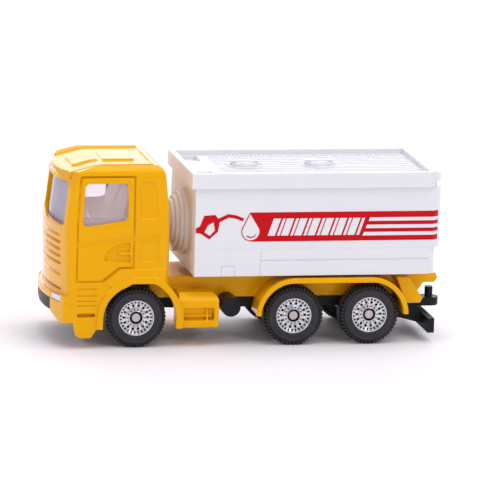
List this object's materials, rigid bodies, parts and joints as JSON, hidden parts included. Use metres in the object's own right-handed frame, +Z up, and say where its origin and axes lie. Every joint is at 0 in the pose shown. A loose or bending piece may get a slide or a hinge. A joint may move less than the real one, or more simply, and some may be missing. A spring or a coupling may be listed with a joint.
{
  "type": "toy tanker truck",
  "caption": "Small cast toy tank truck with a forward-control cab, a boxy tank, an arched mudguard over each rear wheel, three rolling axles and a tow pin.",
  "frame": {"origin": "on the ground, under the middle of the truck's bounding box", "axes": "+X towards the rear, +Y towards the right-hand side, +Z up"},
  "size_m": [0.0804, 0.027, 0.036],
  "materials": {
    "yellow_paint": "glossy enamel",
    "clear_plastic": "clear moulding",
    "pale_plastic": "satin moulding",
    "lamp_plastic": "clear over silver",
    "black_plastic": "satin moulding",
    "white_plastic": "satin, slightly translucent",
    "zinc": "bare peened metal",
    "steel": "drawn wire",
    "silver_rim": "hot-stamped silver",
    "tyre": "soft plastic"
  },
  "bodies": {
    "chassis": {"body_casting": "yellow_paint", "cab_glazing": "clear_plastic", "cab_interior": "pale_plastic", "steering_wheel": "pale_plastic", "headlamp_left": "lamp_plastic", "headlamp_right": "lamp_plastic", "underbody": "black_plastic", "tank_shell": "white_plastic", "tank_top": "white_plastic", "front_rivet": "zinc", "rear_rivet": "zinc"},
    "front_wheelset": {"front_axle": "steel", "front_left_rim": "silver_rim", "front_left_tyre": "tyre", "front_right_rim": "silver_rim", "front_right_tyre": "tyre"},
    "middle_wheelset": {"middle_axle": "steel", "middle_left_rim": "silver_rim", "middle_left_tyre": "tyre", "middle_right_rim": "silver_rim", "middle_right_tyre": "tyre"},
    "rear_wheelset": {"rear_axle": "steel", "rear_left_rim": "silver_rim", "rear_left_tyre": "tyre", "rear_right_rim": "silver_rim", "rear_right_tyre": "tyre"}
  },
  "joints": [
    {"name": "front_axle_spin", "type": "hinge", "parent": "chassis", "child": "front_wheelset", "pos_m": [-0.0232, 0, 0.0059], "axis": [0, 1, 0], "continuous": true},
    {"name": "middle_axle_spin", "type": "hinge", "parent": "chassis", "child": "middle_wheelset", "pos_m": [0.0082, 0, 0.0059], "axis": [0, 1, 0], "continuous": true},
    {"name": "rear_axle_spin", "type": "hinge", "parent": "chassis", "child": "rear_wheelset", "pos_m": [0.0234, 0, 0.0059], "axis": [0, 1, 0], "continuous": true}
  ]
}
